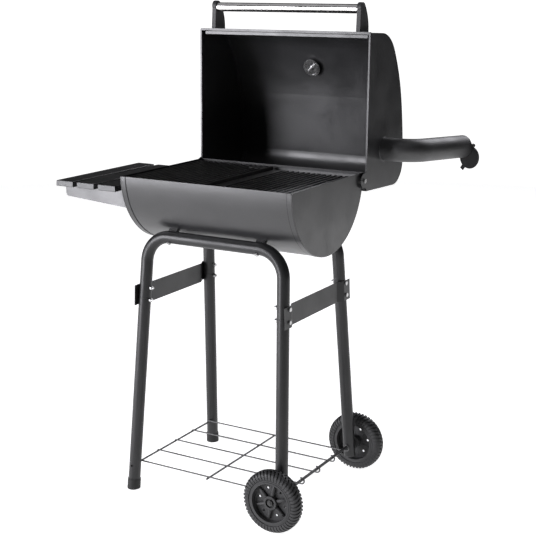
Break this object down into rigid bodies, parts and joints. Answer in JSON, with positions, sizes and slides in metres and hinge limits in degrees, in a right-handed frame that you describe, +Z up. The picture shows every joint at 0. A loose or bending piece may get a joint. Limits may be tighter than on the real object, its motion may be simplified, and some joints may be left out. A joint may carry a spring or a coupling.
{
  "type": "barrel charcoal grill",
  "caption": "Half-barrel charcoal grill on a splayed tube stand with two wheels, swing-open hood with chimney and handle, side shelf and wire bottom shelf.",
  "frame": {"origin": "middle of the bounding box's base, on the floor", "axes": "+X to the grill's right (chimney and wheels), +Y to its back, +Z up"},
  "size_m": [0.9243, 0.7768, 1.273],
  "materials": {
    "black_fastener": "blackened steel",
    "black_plastic": "matte black moulded plastic",
    "black_tube_paint": "satin black powder coat",
    "cast_iron_black": "matte black cast iron",
    "chrome": "bright chrome",
    "dial_white": "matte white dial",
    "grey_paint": "satin dark grey powder coat",
    "inner_black_paint": "matte black paint",
    "lens": "clear glass",
    "needle_red": "red painted pointer",
    "rubber_black": "matte black",
    "satin_black_paint": "satin black high-temperature paint",
    "shelf_black": "satin black",
    "stainless": "polished stainless steel",
    "steel_wire": "black coated wire",
    "zinc": "bright zinc plated"
  },
  "bodies": {
    "stand": {"firebox_shell": "satin_black_paint", "firebox_end_left": "satin_black_paint", "firebox_end_right": "satin_black_paint", "grate_ledges": "inner_black_paint", "charcoal_supports": "inner_black_paint", "damper_rivet": "zinc", "barrel_saddles": "black_tube_paint", "saddle_bolts": "zinc", "hood_stops": "satin_black_paint", "hinge_bolts": "zinc", "hinge_spacers": "zinc", "u_tube_front": "black_tube_paint", "u_tube_rear": "black_tube_paint", "leg_front_left": "black_tube_paint", "leg_rear_left": "black_tube_paint", "leg_front_right": "black_tube_paint", "leg_rear_right": "black_tube_paint", "foot_caps": "rubber_black", "leg_plugs": "black_plastic", "brace_left": "black_tube_paint", "brace_right": "black_tube_paint", "brace_bolts": "zinc", "axle": "black_fastener", "axle_washers": "black_fastener", "axle_nuts": "black_fastener", "bottom_shelf": "steel_wire", "shelf_bracket_front": "grey_paint", "shelf_bracket_rear": "grey_paint", "slat_outer": "shelf_black", "slat_middle": "shelf_black", "slat_inner": "shelf_black", "slat_screws": "black_fastener", "bracket_bolts": "zinc"},
    "hood": {"hood_shell": "satin_black_paint", "hood_side_left": "satin_black_paint", "hood_side_right": "satin_black_paint", "hood_front_lip": "satin_black_paint", "handle_arm_left": "black_plastic", "handle_arm_right": "black_plastic", "handle_tube": "stainless", "handle_screws": "zinc", "thermometer_case": "chrome", "thermometer_stem": "zinc", "thermometer_nut": "zinc", "thermometer_dial": "dial_white", "thermometer_needle": "needle_red", "thermometer_lens": "lens", "thermometer_bezel": "chrome", "chimney_flange": "satin_black_paint", "chimney_studs": "black_fastener", "chimney_pipe": "satin_black_paint", "chimney_cap_bolt": "black_fastener"},
    "chimney_cap": {"chimney_cap": "satin_black_paint"},
    "air_damper": {"air_damper": "satin_black_paint"},
    "cooking_grate_left": {"cooking_grate_left": "cast_iron_black"},
    "cooking_grate_right": {"cooking_grate_right": "cast_iron_black"},
    "charcoal_grate": {"charcoal_grate": "steel_wire"},
    "wheel_front": {"wheel_front": "black_plastic"},
    "wheel_rear": {"wheel_rear": "black_plastic"}
  },
  "joints": [
    {"name": "hood_hinge", "type": "hinge", "parent": "stand", "child": "hood", "pos_m": [0.0144, 0.0411, 0.821], "axis": [-1, 0, 0], "range_deg": [-90.75, 0]},
    {"name": "wheel_front_spin", "type": "hinge", "parent": "stand", "child": "wheel_front", "pos_m": [0.23918, -0.3694, 0.08], "axis": [0, 1, 0], "continuous": true},
    {"name": "wheel_rear_spin", "type": "hinge", "parent": "stand", "child": "wheel_rear", "pos_m": [0.23918, 0.0916, 0.08], "axis": [0, 1, 0], "continuous": true},
    {"name": "chimney_cap_swing", "type": "hinge", "parent": "hood", "child": "chimney_cap", "pos_m": [0.44163, 0.37289, 0.88702], "axis": [0.2385, 0.9703, -0.0398], "range_deg": [-20, 63.4]},
    {"name": "air_damper_turn", "type": "hinge", "parent": "stand", "child": "air_damper", "pos_m": [-0.2361, -0.1389, 0.745], "axis": [-1, 0, 0], "range_deg": [0, 60]},
    {"name": "cooking_grate_left_lift", "type": "slide", "parent": "stand", "child": "cooking_grate_left", "axis": [0, 0, 1], "range_m": [0, 0.25]},
    {"name": "cooking_grate_right_lift", "type": "slide", "parent": "stand", "child": "cooking_grate_right", "axis": [0, 0, 1], "range_m": [0, 0.25]},
    {"name": "charcoal_grate_lift", "type": "slide", "parent": "stand", "child": "charcoal_grate", "axis": [0, 0, 1], "range_m": [0, 0.05]}
  ]
}
